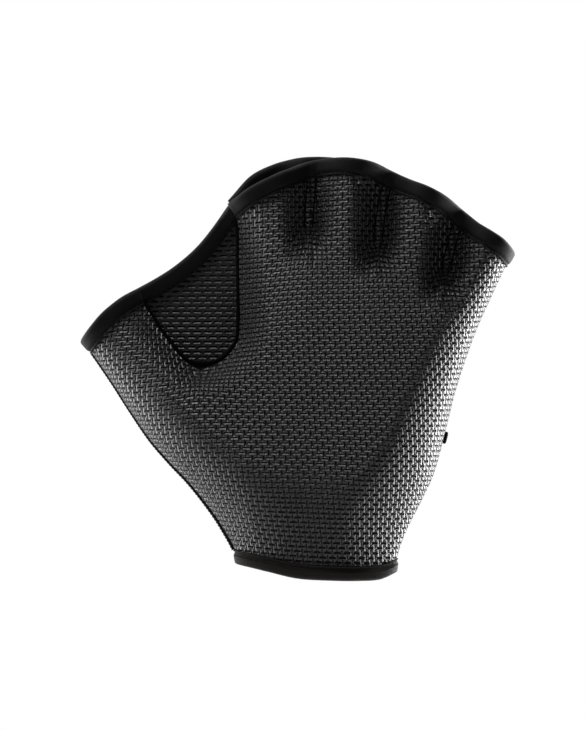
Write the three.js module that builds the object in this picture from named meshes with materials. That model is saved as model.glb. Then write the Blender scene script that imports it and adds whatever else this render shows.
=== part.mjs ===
import * as THREE from 'three';

// A webbed, open-fingered neoprene glove for water exercise, in millimetres, +Z up.
// It stands as worn, palm towards -Y and thumb towards -X. The origin is the middle of
// the wrist opening, at the mean level of its slanting hem.
// Two moulded panels, palm and back, meet at the two side seams in the plane Y = 0.
// They are drawn together between the fingers, and a flat web fills the space between
// the thumb and the index finger. Folded tape binds every cut edge.

// Driving sizes
const gloveHeight = 192;
const gloveSpan = 193.5;
const wristWidth = 70;
const hemLevel = 5;
const hemReach = 0.15;
const wristFront = 14;
const wristBack = 22;
const heelFront = 22;
const heelBack = 19;
const palmFront = 21;
const palmBack = 16;
const fingerFront = 12.5;
const fingerBack = 11.5;
const backRise = 6;
const fingerLean = 4;

const panelThickness = 2.5;
const webThickness = 2.5;
const webMargin = 4;
const tapeThickness = 1;
const tapeWidth = 6;
const tapeCrown = 0.5;
const clearance = 0.3;

const seamBeadWrist = 0.75;
const seamBeadThumb = 0.4;
const tabWidth = 5.5;
const tabLength = 12;
const tabThickness = 1.6;
const tabHeight = 65.5;

const handThumbReach = 16;
const handEdgeReach = 11;
const notchReach = 15;
const seamTopReach = 16;
const seamFootReach = 9;
const valleyFloor = 1.8;
const palmHollow = 1.2;

// Levels of the panels, from the hem, row 0, to the finger openings, row 1. The notch
// for the web starts at crotchRow. The seams between the fingers draw the panels together
// from seamStart on, and fully from seamFull.
const crotchRow = 0.5;
const seamRow = 0.75;
const lowerRows = [0.1, 0.17, 0.25, 0.33, 0.39, 0.435, 0.465, 0.486, crotchRow];
const upperRows = [0.514, 0.535, 0.57, 0.61, 0.65, 0.69, 0.722, seamRow, 0.79, 0.84, 0.89];
const seamStart = 0.66;
const seamFull = 0.8;
const notchPower = 0.9;
const seamPower = 1.3;


// How round the palm turns into the thumb's seam and the outer one. Low on the hand its
// outer flank is nearly plane. The back turns round everywhere.
const roundFlank = 2;
const flanks = [
  { row: 0, thumb: 1.9, outer: 1.8 },
  { row: 0.12, thumb: 1.7, outer: 1.45 },
  { row: 0.3, thumb: 1.75, outer: 1.55 },
  { row: 0.6, thumb: roundFlank, outer: roundFlank },
  { row: 1, thumb: roundFlank, outer: roundFlank },
];

// Lines that run up the panels. across is a share of the span, measured from the middle
// of the wrist, wrist is a share of the wrist's width, and up is a share of the height.
const thumbSeam = [
  { row: 0, wrist: -0.5, up: 0.043 },
  { row: 0.04, across: -0.189, up: 0.077 },
  { row: 0.09, across: -0.209, up: 0.115 },
  { row: 0.157, across: -0.24, up: 0.164 },
  { row: 0.256, across: -0.293, up: 0.232 },
  { row: 0.34, across: -0.342, up: 0.284 },
  { row: 0.41, across: -0.385, up: 0.334 },
  { row: crotchRow, across: -0.427, up: 0.395 },
  { row: 0.69, across: -0.474, up: 0.469 },
  { row: 0.91, across: -0.525, up: 0.544 },
  { row: 1, across: -0.546, up: 0.572 },
];
const thumbBase = [
  { row: 0, wrist: -0.34, up: 0.031 },
  { row: 0.2, across: -0.153, up: 0.171 },
  { row: 0.35, across: -0.208, up: 0.335 },
  { row: crotchRow, across: -0.267, up: 0.514 },
];
const notchThumbSide = [
  { row: crotchRow, across: -0.267, up: 0.514 },
  { row: 0.545, across: -0.285, up: 0.5166 },
  { row: 0.59, across: -0.302, up: 0.5255 },
  { row: 0.65, across: -0.325, up: 0.549 },
  { row: 0.71, across: -0.341, up: 0.57 },
  { row: 0.77, across: -0.36, up: 0.594 },
  { row: 0.85, across: -0.379, up: 0.625 },
  { row: 0.92, across: -0.3965, up: 0.652 },
  { row: 1, across: -0.412, up: 0.691 },
];
const notchIndexSide = [
  { row: crotchRow, across: -0.267, up: 0.514 },
  { row: 0.53, across: -0.244, up: 0.516 },
  { row: 0.555, across: -0.225, up: 0.523 },
  { row: 0.585, across: -0.206, up: 0.537 },
  { row: 0.61, across: -0.192, up: 0.555 },
  { row: 0.635, across: -0.184, up: 0.572 },
  { row: 0.66, across: -0.181, up: 0.594 },
  { row: 0.7, across: -0.18, up: 0.632 },
  { row: 0.84, across: -0.181, up: 0.751 },
  { row: 0.94, across: -0.184, up: 0.846 },
  { row: 1, across: -0.205, up: 0.887 },
];
const indexMiddleSeam = [
  { row: 0, wrist: -0.125, up: 0.014 },
  { row: 0.25, across: -0.033, up: 0.276 },
  { row: crotchRow, across: -0.026, up: 0.581 },
  { row: seamRow, across: -0.02, up: 0.801 },
  { row: 1, across: -0.007, up: 0.988 },
];
const middleRingSeam = [
  { row: 0, wrist: 0.09, up: 0.009 },
  { row: 0.25, across: 0.079, up: 0.265 },
  { row: crotchRow, across: 0.121, up: 0.564 },
  { row: seamRow, across: 0.14, up: 0.766 },
  { row: 0.9, across: 0.156, up: 0.9 },
  { row: 1, across: 0.181, up: 0.961 },
];
const ringLittleSeam = [
  { row: 0, wrist: 0.29, up: 0.009 },
  { row: 0.25, across: 0.177, up: 0.241 },
  { row: crotchRow, across: 0.244, up: 0.513 },
  { row: seamRow, across: 0.294, up: 0.707 },
  { row: 0.9, across: 0.321, up: 0.822 },
  { row: 1, across: 0.342, up: 0.871 },
];
const outerSeam = [
  { row: 0, wrist: 0.5, up: 0.0225 },
  { row: 0.035, across: 0.189, up: 0.063 },
  { row: 0.1, across: 0.2095, up: 0.121 },
  { row: 0.18, across: 0.243, up: 0.188 },
  { row: 0.27, across: 0.275, up: 0.259 },
  { row: 0.39, across: 0.304, up: 0.367 },
  { row: crotchRow, across: 0.327, up: 0.457 },
  { row: 0.65, across: 0.369, up: 0.582 },
  { row: seamRow, across: 0.402, up: 0.658 },
  { row: 0.86, across: 0.431, up: 0.721 },
  { row: 1, across: 0.459, up: 0.778 },
];

// The outside of the bound edge over the thumb, the web and the fingers. The panels stop
// inside it by the build of their tape. place counts the lines above:
// 0 is the thumb seam and 5 the outer seam. rise is how far the back edge shows over
// the palm's, as a share of backRise.
const thumbEdge = [
  { place: 0, across: -0.546, up: 0.572, rise: 0 },
  { place: 0.2, across: -0.524, up: 0.6, rise: 0 },
  { place: 0.5, across: -0.492, up: 0.636, rise: 0 },
  { place: 0.75, across: -0.453, up: 0.667, rise: 0 },
  { place: 1, across: -0.412, up: 0.691, rise: 0 },
];
const webEdge = [
  { place: 0, across: -0.412, up: 0.691 },
  { place: 0.2, across: -0.367, up: 0.716 },
  { place: 0.4, across: -0.325, up: 0.744 },
  { place: 0.6, across: -0.282, up: 0.782 },
  { place: 0.8, across: -0.247, up: 0.825 },
  { place: 1, across: -0.205, up: 0.887 },
];
const fingerEdge = [
  { place: 1, across: -0.205, up: 0.887, rise: 0.3 },
  { place: 1.25, across: -0.156, up: 0.923, rise: 0.98 },
  { place: 1.5, across: -0.102, up: 0.951, rise: 1 },
  { place: 1.75, across: -0.049, up: 0.972, rise: 0.73 },
  { place: 2, across: -0.007, up: 0.988, rise: 0.33 },
  { place: 2.25, across: 0.04, up: 0.9935, rise: 0.15 },
  { place: 2.5, across: 0.086, up: 0.992, rise: 0.05 },
  { place: 2.75, across: 0.135, up: 0.982, rise: 0 },
  { place: 3, across: 0.181, up: 0.961, rise: 0 },
  { place: 3.25, across: 0.219, up: 0.943, rise: 0 },
  { place: 3.5, across: 0.26, up: 0.926, rise: 0 },
  { place: 3.75, across: 0.304, up: 0.902, rise: 0 },
  { place: 4, across: 0.342, up: 0.871, rise: 0 },
  { place: 4.25, across: 0.372, up: 0.845, rise: 0 },
  { place: 4.5, across: 0.406, up: 0.823, rise: 0 },
  { place: 4.75, across: 0.435, up: 0.803, rise: 0 },
  { place: 5, across: 0.459, up: 0.778, rise: 0 },
];

// The hem's height at places across the panels.
const hem = [
  { place: 0, up: 0.043 },
  { place: 1, up: 0.031 },
  { place: 2, up: 0.014 },
  { place: 3, up: 0.009 },
  { place: 4, up: 0.0078 },
  { place: 4.6, up: 0.0105 },
  { place: 5, up: 0.0225 },
];

// How full the glove is over its height: the depth of the panels from the side seams.
const fullness = [
  { row: 0, front: wristFront, back: wristBack },
  { row: 0.25, front: heelFront, back: heelBack },
  { row: crotchRow, front: palmFront, back: palmBack },
  { row: seamRow, front: 0.4 * palmFront + 0.6 * fingerFront, back: 0.4 * palmBack + 0.6 * fingerBack },
  { row: 1, front: fingerFront, back: fingerBack },
];

// Parts of the panels between two lines, with their number of strips.
const patches = [
  { left: [thumbSeam], right: [thumbBase, notchThumbSide], edge: thumbEdge, place: 0, strips: 8 },
  { left: [thumbBase, notchIndexSide], right: [indexMiddleSeam], edge: fingerEdge, place: 1, strips: 8 },
  { left: [indexMiddleSeam], right: [middleRingSeam], edge: fingerEdge, place: 2, strips: 8 },
  { left: [middleRingSeam], right: [ringLittleSeam], edge: fingerEdge, place: 3, strips: 7 },
  { left: [ringLittleSeam], right: [outerSeam], edge: fingerEdge, place: 4, strips: 8 },
];

const halfGap = clearance / 2;
const bindingBuild = clearance + tapeThickness;
const edgeBuild = clearance + tapeThickness + tapeCrown;
const seamPin = panelThickness + bindingBuild + halfGap;
const notchPin = Math.max(seamPin, webThickness / 2 + clearance + panelThickness);

function blend(from, to, share) {
  return from + (to - from) * share;
}

function share(value, low, high) {
  return THREE.MathUtils.clamp((value - low) / (high - low), 0, 1);
}

// A field of a table at a key, on a smooth curve through its rows.
function smoothValue(rows, key, at, field) {
  const last = rows.length - 1;
  const slope = (i) => {
    const before = rows[Math.max(i - 1, 0)];
    const after = rows[Math.min(i + 1, last)];
    return (field(after) - field(before)) / (after[key] - before[key]);
  };
  let i = 0;
  while (i < last - 1 && rows[i + 1][key] < at) i += 1;
  const step = rows[i + 1][key] - rows[i][key];
  const t = share(at, rows[i][key], rows[i + 1][key]);
  const ease = t * t * (3 - 2 * t);
  const value = blend(field(rows[i]), field(rows[i + 1]), ease);
  return value + step * (slope(i) * t * (1 - t) ** 2 - slope(i + 1) * t * t * (1 - t));
}

const acrossOf = (point) =>
  point.wrist === undefined ? point.across * gloveSpan : point.wrist * wristWidth;
const upOf = (point) => point.up * gloveHeight;

// The point of a line at a row. A line is one table, or a lower and an upper one.
function linePoint(line, row) {
  const table = line.find((rows) => row <= rows[rows.length - 1].row) ?? line[line.length - 1];
  return new THREE.Vector2(
    smoothValue(table, 'row', row, acrossOf),
    smoothValue(table, 'row', row, upOf),
  );
}

function edgePoint(edge, place, side) {
  const rise = side > 0 && edge !== webEdge ? backRise : 0;
  return new THREE.Vector2(
    smoothValue(edge, 'place', place, acrossOf),
    smoothValue(edge, 'place', place, upOf) + smoothValue(edge, 'place', place, (p) => (p.rise ?? 0) * rise),
  );
}

// Strips are narrow beside a seam, where the panel turns away.
function stripPlace(strip, strips) {
  return 0.5 - 0.5 * Math.cos((Math.PI * strip) / strips);
}

// Where a strip's edge crosses a row, seen from the front. Near the openings the rows
// take the shape of the bound edge, and near the wrist that of the hem.
function planPoint(patch, place, row, side) {
  const left = linePoint(patch.left, row);
  const right = linePoint(patch.right, row);
  const point = left.clone().lerp(right, place);
  const topLeft = linePoint(patch.left, 1);
  const topRight = linePoint(patch.right, 1);
  const chord = topLeft.lerp(topRight, place);
  const bulge = edgePoint(patch.edge, patch.place + place, side).sub(chord);
  point.addScaledVector(bulge, THREE.MathUtils.smoothstep(row, crotchRow, 1));
  const hemChord = blend(linePoint(patch.left, 0).y, linePoint(patch.right, 0).y, place);
  const sag = smoothValue(hem, 'place', patch.place + place, upOf) - hemChord;
  point.y += sag * (1 - THREE.MathUtils.smoothstep(row, 0, hemReach));
  return point;
}

// Lines that the panels are drawn to, as plan points with the reach of their effect and
// their hold, which grows from nothing up to the row full for a seam that starts in the
// open panel. The power of a drawn line's shoulder says how flat the valley's bottom is.
function tracedLine(line, from, to, reachFrom, reachTo, full = from) {
  const steps = 90;
  return Array.from({ length: steps + 1 }, (_, i) => {
    const row = blend(from, to, i / steps);
    const hold = full > from ? THREE.MathUtils.smoothstep(row, from, full) : 1;
    return { at: linePoint(line, row), reach: blend(reachFrom, reachTo, share(row, from, to)), hold };
  });
}

function fingerSeam(table) {
  const line = tracedLine([table], seamStart, 1, seamFootReach, seamTopReach, seamFull);
  return { pin: seamPin, power: seamPower, floor: valleyFloor, line };
}

function notchSide(table) {
  const line = tracedLine([table], crotchRow, 1, notchReach, notchReach);
  return { pin: notchPin, power: notchPower, floor: onLine, line };
}

// A point this near to a traced line counts as lying on it.
const onLine = 0.05;

const thumbSide = tracedLine([thumbSeam], 0, 1, wristWidth / 2, handThumbReach);
const outerSide = tracedLine([outerSeam], 0, 1, wristWidth / 2, handEdgeReach);
const drawnLines = [
  notchSide(notchThumbSide),
  notchSide(notchIndexSide),
  fingerSeam(indexMiddleSeam),
  fingerSeam(middleRingSeam),
  fingerSeam(ringLittleSeam),
];

// Distance from a plan point to a traced line beyond its floor, as a share of the line's
// reach there, and the line's hold at that place.
function nearest(point, line, floor) {
  let near = 1;
  let hold = 0;
  for (let i = 0; i + 1 < line.length; i += 1) {
    const along = line[i + 1].at.clone().sub(line[i].at);
    const t = THREE.MathUtils.clamp(point.clone().sub(line[i].at).dot(along) / along.lengthSq(), 0, 1);
    const distance = point.distanceTo(line[i].at.clone().addScaledVector(along, t));
    const here = Math.max(distance - floor, 0) / blend(line[i].reach, line[i + 1].reach, t);
    if (here < near) {
      near = here;
      hold = blend(line[i].hold, line[i + 1].hold, t);
    }
  }
  return { near, hold };
}

const roundShoulder = (near, power) => (1 - (1 - near) ** power) ** (1 / power);
const softShoulder = (near, power) => Math.sin((Math.PI / 2) * near) ** power;

// Depth of a panel's outer face from the plane of the side seams. side is -1 for the
// palm and 1 for the back.
function depthAt(point, row, side) {
  const full = smoothValue(fullness, 'row', row, (level) => (side < 0 ? level.front : level.back));
  const hollowX = (point.x / gloveSpan - 0.02) / 0.13;
  const hollowZ = (point.y / gloveHeight - 0.42) / 0.2;
  const hollow = side < 0 ? palmHollow * Math.exp(-(hollowX ** 2) - hollowZ ** 2) : 0;
  let depth = full - hollow;
  for (const { pin, power, floor, line } of drawnLines) {
    const { near, hold } = nearest(point, line, floor);
    depth = blend(depth, pin + (depth - pin) * softShoulder(near, blend(2, power, hold)), hold);
  }
  for (const [seam, flank] of [[thumbSide, 'thumb'], [outerSide, 'outer']]) {
    const { near } = nearest(point, seam, onLine);
    const power = side < 0 ? smoothValue(flanks, 'row', row, (level) => level[flank]) : roundFlank;
    depth = halfGap + (depth - halfGap) * roundShoulder(near, power);
  }
  return depth;
}

// The relaxed fingers lean towards the palm.
function leaned(point) {
  const above = share(point.z / gloveHeight, 0.4, 1);
  return new THREE.Vector3(point.x, point.y - fingerLean * above ** 2, point.z);
}

// The row that lies a distance inside the hem, row 0, or the bound edge, row 1.
function rowInside(patch, place, edgeRow, side, distance) {
  const edge = planPoint(patch, place, edgeRow, side);
  let near = edgeRow;
  let far = 0.5;
  for (let i = 0; i < 30; i += 1) {
    const middle = (near + far) / 2;
    if (planPoint(patch, place, middle, side).distanceTo(edge) < distance) near = middle;
    else far = middle;
  }
  return (near + far) / 2;
}

// The panel's own end and the foot of its tape, at the hem and at the bound edge.
function endRows(patch, place, side) {
  const at = (edgeRow, distance) => rowInside(patch, place, edgeRow, side, distance);
  return {
    hem: at(0, edgeBuild),
    hemTape: at(0, edgeBuild + tapeWidth),
    topTape: at(1, edgeBuild + tapeWidth),
    top: at(1, edgeBuild),
  };
}

// One panel as a grid of plan points, with the notch as a cut between two columns.
function panelGrid(side) {
  const columns = [];
  for (const patch of patches) {
    const first = patch.place > 1 ? 1 : 0;
    for (let strip = first; strip <= patch.strips; strip += 1) {
      const place = stripPlace(strip, patch.strips);
      const { hem, hemTape, topTape, top } = endRows(patch, place, side);
      const rows = [hem, hemTape, ...lowerRows, ...upperRows, topTape, top];
      columns.push({ patch, place, rows });
    }
  }
  const cut = patches[0].strips;
  const crotch = 1 + lowerRows.length;
  const levels = columns[0].rows.length;
  const number = (level, column) =>
    (column === cut + 1 && level <= crotch ? cut : column) * levels + level;

  const outer = columns.flatMap(({ patch, place, rows }) =>
    rows.map((row) => {
      const plan = planPoint(patch, place, row, side);
      return new THREE.Vector3(plan.x, side * depthAt(plan, row, side), plan.y);
    }));
  const quads = [];
  for (let column = 0; column + 1 < columns.length; column += 1) {
    if (column === cut) continue;
    for (let level = 0; level + 1 < levels; level += 1) {
      const quad = [
        number(level, column),
        number(level, column + 1),
        number(level + 1, column + 1),
        number(level + 1, column),
      ];
      quads.push(side < 0 ? quad : quad.reverse());
    }
  }
  const normals = gridNormals(outer, quads);
  for (let level = 0; level < levels; level += 1) {
    const last = columns.length - 1;
    normals[number(level, 0)] = seamNormal(thumbSeam, columns[0].rows[level], -1);
    normals[number(level, last)] = seamNormal(outerSeam, columns[last].rows[level], 1);
    if (level >= crotch) {
      normals[number(level, cut)] = new THREE.Vector3(0, side, 0);
      normals[number(level, cut + 1)] = new THREE.Vector3(0, side, 0);
    }
  }
  const inner = outer.map((point, i) => point.clone().addScaledVector(normals[i], -panelThickness));
  for (const point of inner) point.y = side * Math.max(side * point.y, halfGap);
  const mitres = gridMitres(outer, quads, normals);
  return { side, columns, cut, crotch, levels, number, outer, inner, normals, mitres, quads };
}

function quadNormal(points, [a, b, c, d]) {
  return points[c].clone().sub(points[a]).cross(points[d].clone().sub(points[b]));
}

function gridNormals(points, quads) {
  const normals = points.map(() => new THREE.Vector3());
  for (const quad of quads) {
    for (const corner of quad) normals[corner].add(quadNormal(points, quad));
  }
  return normals.map((normal) => normal.normalize());
}

// How much longer an offset along a point's normal is than the one square to its faces.
function gridMitres(points, quads, normals) {
  const cosines = points.map(() => 1);
  for (const quad of quads) {
    const normal = quadNormal(points, quad).normalize();
    for (const corner of quad) {
      cosines[corner] = Math.min(cosines[corner], normals[corner].dot(normal));
    }
  }
  return cosines.map((cosine) => 1 / Math.max(cosine, 0.55));
}

// At a side seam both panels turn square to the seam's plane.
function seamNormal(seam, row, side) {
  const step = 0.01;
  const low = linePoint([seam], Math.max(row - step, 0));
  const high = linePoint([seam], Math.min(row + step, 1));
  const along = high.sub(low).normalize();
  return new THREE.Vector3(along.y * side, 0, -along.x * side);
}

// A closed solid from faces that share a list of points.
function solidGeometry(points, faces) {
  const geometry = new THREE.BufferGeometry();
  const positions = points.map(leaned).flatMap((point) => [point.x, point.y, point.z - hemLevel]);
  geometry.setAttribute('position', new THREE.Float32BufferAttribute(positions, 3));
  geometry.setIndex(faces.flat());
  geometry.computeVertexNormals();
  return geometry;
}

// A sheet with an outer and an inner face and a wall round its free edges.
function sheetGeometry(outer, inner, quads) {
  const lift = outer.length;
  const triangles = quads.flatMap(([a, b, c, d]) => [[a, b, c], [a, c, d]])
    .filter(([a, b, c]) => a !== b && b !== c && c !== a);
  const edges = new Set(triangles.flatMap(([a, b, c]) => [`${a},${b}`, `${b},${c}`, `${c},${a}`]));
  const faces = triangles.flatMap(([a, b, c]) => [[a, b, c], [a + lift, c + lift, b + lift]]);
  for (const edge of edges) {
    const [a, b] = edge.split(',').map(Number);
    if (!edges.has(`${b},${a}`)) faces.push([b, a, a + lift], [b, a + lift, b + lift]);
  }
  return compactGeometry([...outer, ...inner], faces);
}

// Leaves out the points that no face uses.
function compactGeometry(points, faces) {
  const used = [...new Set(faces.flat())];
  const place = new Map(used.map((old, now) => [old, now]));
  return solidGeometry(used.map((old) => points[old]), faces.map((face) => face.map((i) => place.get(i))));
}

// A bar through a row of like sections, closed to a ring or capped at both ends. The
// faces of the turned sides are split the other way, as the panel's beneath them are.
function loftGeometry(sections, ring, turned) {
  const size = sections[0].length;
  const points = sections.flat();
  const faces = [];
  const spans = ring ? sections.length : sections.length - 1;
  for (let j = 0; j < spans; j += 1) {
    const here = j * size;
    const next = ((j + 1) % sections.length) * size;
    for (let k = 0; k < size; k += 1) {
      const k2 = (k + 1) % size;
      if (turned.includes(k)) {
        faces.push([here + k, here + k2, next + k], [here + k2, next + k2, next + k]);
      } else {
        faces.push([here + k, next + k2, next + k], [here + k, here + k2, next + k2]);
      }
    }
  }
  if (!ring) {
    const far = (sections.length - 1) * size;
    for (const [a, b, c] of capFaces(size)) {
      faces.push([a, c, b], [far + a, far + b, far + c]);
    }
  }
  return solidGeometry(points, faces);
}

// End faces of the tape's section, which is a U of nine points, or of a round bead.
function capFaces(size) {
  if (size === tapeSectionSize) {
    return [[0, 1, 7], [0, 7, 8], [1, 6, 7], [1, 2, 6], [2, 5, 6], [2, 3, 5], [3, 4, 5]];
  }
  return Array.from({ length: size - 2 }, (_, k) => [0, k + 1, k + 2]);
}

const tapeSectionSize = 9;
const tapeTurned = [2, 7];
const hemTapeTurned = [0, 5];

// The section of a folded tape over a panel's edge, from the panel's own points: the
// outer and inner face at the edge and one tape width inside it.
function tapeSection(edge, inside) {
  const outerRim = edge.outer.clone().sub(inside.outer).normalize();
  const innerRim = edge.inner.clone().sub(inside.inner).normalize();
  const off = (point, normal, distance) => point.clone().addScaledVector(normal, distance);
  const outerEdge = edge.outer.clone().addScaledVector(outerRim, clearance);
  const innerEdge = edge.inner.clone().addScaledVector(innerRim, clearance);
  const crown = outerEdge.clone().add(innerEdge).multiplyScalar(0.5);
  return [
    off(inside.outer, inside.normal, clearance * inside.mitre),
    off(outerEdge, edge.normal, clearance * edge.mitre),
    off(innerEdge, edge.normal, -clearance),
    off(inside.inner, inside.normal, -clearance),
    off(inside.inner, inside.normal, -bindingBuild),
    off(innerEdge, edge.normal, -bindingBuild),
    off(crown, outerRim.add(innerRim).normalize(), tapeThickness + tapeCrown),
    off(outerEdge, edge.normal, clearance * edge.mitre + tapeThickness),
    off(inside.outer, inside.normal, clearance * inside.mitre + tapeThickness),
  ];
}

function gridPoint(grid, level, column) {
  const i = grid.number(level, column);
  return { outer: grid.outer[i], inner: grid.inner[i], normal: grid.normals[i], mitre: grid.mitres[i] };
}

// Tape sections along one edge of a panel, from one column to another.
function edgeSections(grid, atHem, from, to) {
  const edge = atHem ? 0 : grid.levels - 1;
  const inside = atHem ? 1 : grid.levels - 2;
  const step = Math.sign(to - from);
  const sections = [];
  for (let column = from; column !== to + step; column += step) {
    if (atHem && column === grid.cut + 1) continue;
    sections.push(tapeSection(gridPoint(grid, edge, column), gridPoint(grid, inside, column)));
  }
  return sections;
}

// The two panels' tape sections run on over a side seam as one section on its plane.
function joinedSections(first, second) {
  const seam = first[first.length - 1].map((point, k) => point.clone().add(second[0][k]).multiplyScalar(0.5));
  return [...first.slice(0, -1), seam, ...second.slice(1)];
}

const palm = panelGrid(-1);
const back = panelGrid(1);
const lastColumn = palm.columns.length - 1;

function panelGeometry(grid) {
  return sheetGeometry(grid.outer, grid.inner, grid.quads);
}

// Tape from the web over the fingers' palm edge and back along their back edge.
function fingerBindingGeometry() {
  const front = edgeSections(palm, false, palm.cut + 1, lastColumn);
  const rear = edgeSections(back, false, lastColumn, back.cut + 1);
  return loftGeometry(joinedSections(front, rear), false, tapeTurned);
}

function thumbBindingGeometry() {
  const rear = edgeSections(back, false, back.cut, 0);
  const front = edgeSections(palm, false, 0, palm.cut);
  return loftGeometry(joinedSections(rear, front), false, tapeTurned);
}

function wristBindingGeometry() {
  const front = edgeSections(palm, true, 0, lastColumn);
  const rear = edgeSections(back, true, lastColumn, 0);
  const half = joinedSections(front, rear);
  const seam = half[0].map((point, k) => point.clone().add(half[half.length - 1][k]).multiplyScalar(0.5));
  const sections = [seam, ...half.slice(1, -1)];
  return loftGeometry(sections.map((section) => section.slice().reverse()), true, hemTapeTurned);
}

// The web as a grid: rows from the foot of the notch to the bound edge. Under the
// panels it keeps a sewing margin, and inside the binding it stops short of them.
const webStrips = 8;
const webRows = [crotchRow, ...upperRows];

function webSide(line, row, outward) {
  const step = 0.004;
  const low = linePoint([line], Math.max(row - step, crotchRow));
  const high = linePoint([line], Math.min(row + step, 1));
  const along = high.sub(low).normalize();
  const margin = row <= upperRows[upperRows.length - 2] ? webMargin : -clearance;
  const spread = row === crotchRow ? 0 : outward * margin;
  const drop = row === crotchRow ? margin : 0;
  const at = linePoint([line], row);
  return new THREE.Vector2(at.x + along.y * spread, at.y - along.x * spread - drop);
}

const webPatch = { left: [notchThumbSide], right: [notchIndexSide], edge: webEdge, place: 0 };

function webGrid() {
  const rows = webRows.length + 2;
  const plan = [];
  for (let strip = 0; strip <= webStrips; strip += 1) {
    const place = strip / webStrips;
    const { topTape, top } = endRows(webPatch, place, -1);
    for (const row of [...webRows, topTape, top]) {
      const thumbSide = webSide(notchThumbSide, row, -1);
      const indexSide = webSide(notchIndexSide, row, 1);
      const bulge = planPoint(webPatch, place, row, -1)
        .sub(linePoint(webPatch.left, row).lerp(linePoint(webPatch.right, row), place));
      plan.push(thumbSide.lerp(indexSide, place).add(bulge));
    }
  }
  const number = (level, column) => (level === 0 ? 0 : column * rows + level);
  const outer = plan.map((point) => new THREE.Vector3(point.x, -webThickness / 2, point.y));
  const inner = plan.map((point) => new THREE.Vector3(point.x, webThickness / 2, point.y));
  const normals = plan.map(() => new THREE.Vector3(0, -1, 0));
  const mitres = plan.map(() => 1);
  const quads = [];
  for (let column = 0; column < webStrips; column += 1) {
    for (let level = 0; level + 1 < rows; level += 1) {
      quads.push([
        number(level, column),
        number(level, column + 1),
        number(level + 1, column + 1),
        number(level + 1, column),
      ]);
    }
  }
  return { cut: -2, levels: rows, number, outer, inner, normals, mitres, quads };
}

const web = webGrid();

function webBindingGeometry() {
  return loftGeometry(edgeSections(web, false, 0, webStrips), false, tapeTurned);
}

// An overlocked bead along the thumb's side seam, from the wrist tape to the thumb tape.
function seamBeadGeometry() {
  const sides = 6;
  const beadEnd = 0.015;
  const rows = palm.columns[0].rows.slice(1, -1);
  rows[0] += beadEnd;
  rows[rows.length - 1] -= beadEnd;
  const sections = rows.map((row) => {
    const radius = blend(seamBeadWrist, seamBeadThumb, share(row, 0, crotchRow));
    const outward = seamNormal(thumbSeam, row, -1);
    const at = linePoint([thumbSeam], row);
    const centre = new THREE.Vector3(at.x, 0, at.y).addScaledVector(outward, clearance + radius);
    return Array.from({ length: sides }, (_, k) => {
      const turn = (2 * Math.PI * (k + 0.5)) / sides;
      return centre.clone()
        .addScaledVector(outward, -radius * Math.cos(turn))
        .add(new THREE.Vector3(0, radius * Math.sin(turn), 0));
    });
  });
  return loftGeometry(sections, false, []);
}

// A short tape tab, sewn flat on the back beside the outer seam, whose folded end
// shows past the palm's edge.
function sideTabGeometry() {
  const patch = patches[patches.length - 1];
  const lengthwise = 6;
  const widthwise = 2;
  const plane = (place, row) => {
    const plan = planPoint(patch, place, row, 1);
    return new THREE.Vector3(plan.x, depthAt(plan, row, 1), plan.y);
  };
  const rowAt = (height) => {
    let low = 0;
    let high = 1;
    for (let i = 0; i < 30; i += 1) {
      const middle = (low + high) / 2;
      if (linePoint([outerSeam], middle).y < height) low = middle;
      else high = middle;
    }
    return low;
  };
  const outer = [];
  const inner = [];
  for (let j = 0; j <= widthwise; j += 1) {
    const row = rowAt(tabHeight + tabWidth * (j / widthwise - 0.5));
    let place = 1;
    let run = 0;
    for (let i = 0; i <= lengthwise; i += 1) {
      while (run < (tabLength * i) / lengthwise) {
        const step = 0.002;
        run += plane(place, row).distanceTo(plane(place - step, row));
        place -= step;
      }
      const small = 0.01;
      const along = plane(Math.min(place + small, 1), row).sub(plane(place - small, row));
      const up = plane(place, row + small).sub(plane(place, row - small));
      const normal = i === 0 ? seamNormal(outerSeam, row, 1) : up.cross(along).normalize();
      const at = plane(place, row);
      inner.push(at.clone().addScaledVector(normal, clearance));
      outer.push(at.clone().addScaledVector(normal, clearance + tabThickness));
    }
  }
  const number = (j, i) => j * (lengthwise + 1) + i;
  const quads = [];
  for (let j = 0; j < widthwise; j += 1) {
    for (let i = 0; i < lengthwise; i += 1) {
      quads.push([number(j, i), number(j, i + 1), number(j + 1, i + 1), number(j + 1, i)]);
    }
  }
  return sheetGeometry(outer, inner, quads);
}

function finish(color, roughness) {
  return new THREE.MeshStandardMaterial({ color, roughness, metalness: 0 });
}

function piece(name, geometry, material) {
  const mesh = new THREE.Mesh(geometry, material);
  mesh.name = name;
  return mesh;
}

const neoprene = () => finish(0x2b2a2b, 0.5);
const bindingTape = () => finish(0x111011, 0.8);

const glove = new THREE.Group();
glove.add(
  piece('palm_panel', panelGeometry(palm), neoprene()),
  piece('back_panel', panelGeometry(back), neoprene()),
  piece('thumb_web', sheetGeometry(web.outer, web.inner, web.quads), neoprene()),
  piece('finger_binding', fingerBindingGeometry(), bindingTape()),
  piece('thumb_binding', thumbBindingGeometry(), bindingTape()),
  piece('web_binding', webBindingGeometry(), bindingTape()),
  piece('wrist_binding', wristBindingGeometry(), bindingTape()),
  piece('thumb_seam_bead', seamBeadGeometry(), bindingTape()),
  piece('side_tab', sideTabGeometry(), bindingTape()),
);

export default glove;
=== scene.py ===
import math

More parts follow.
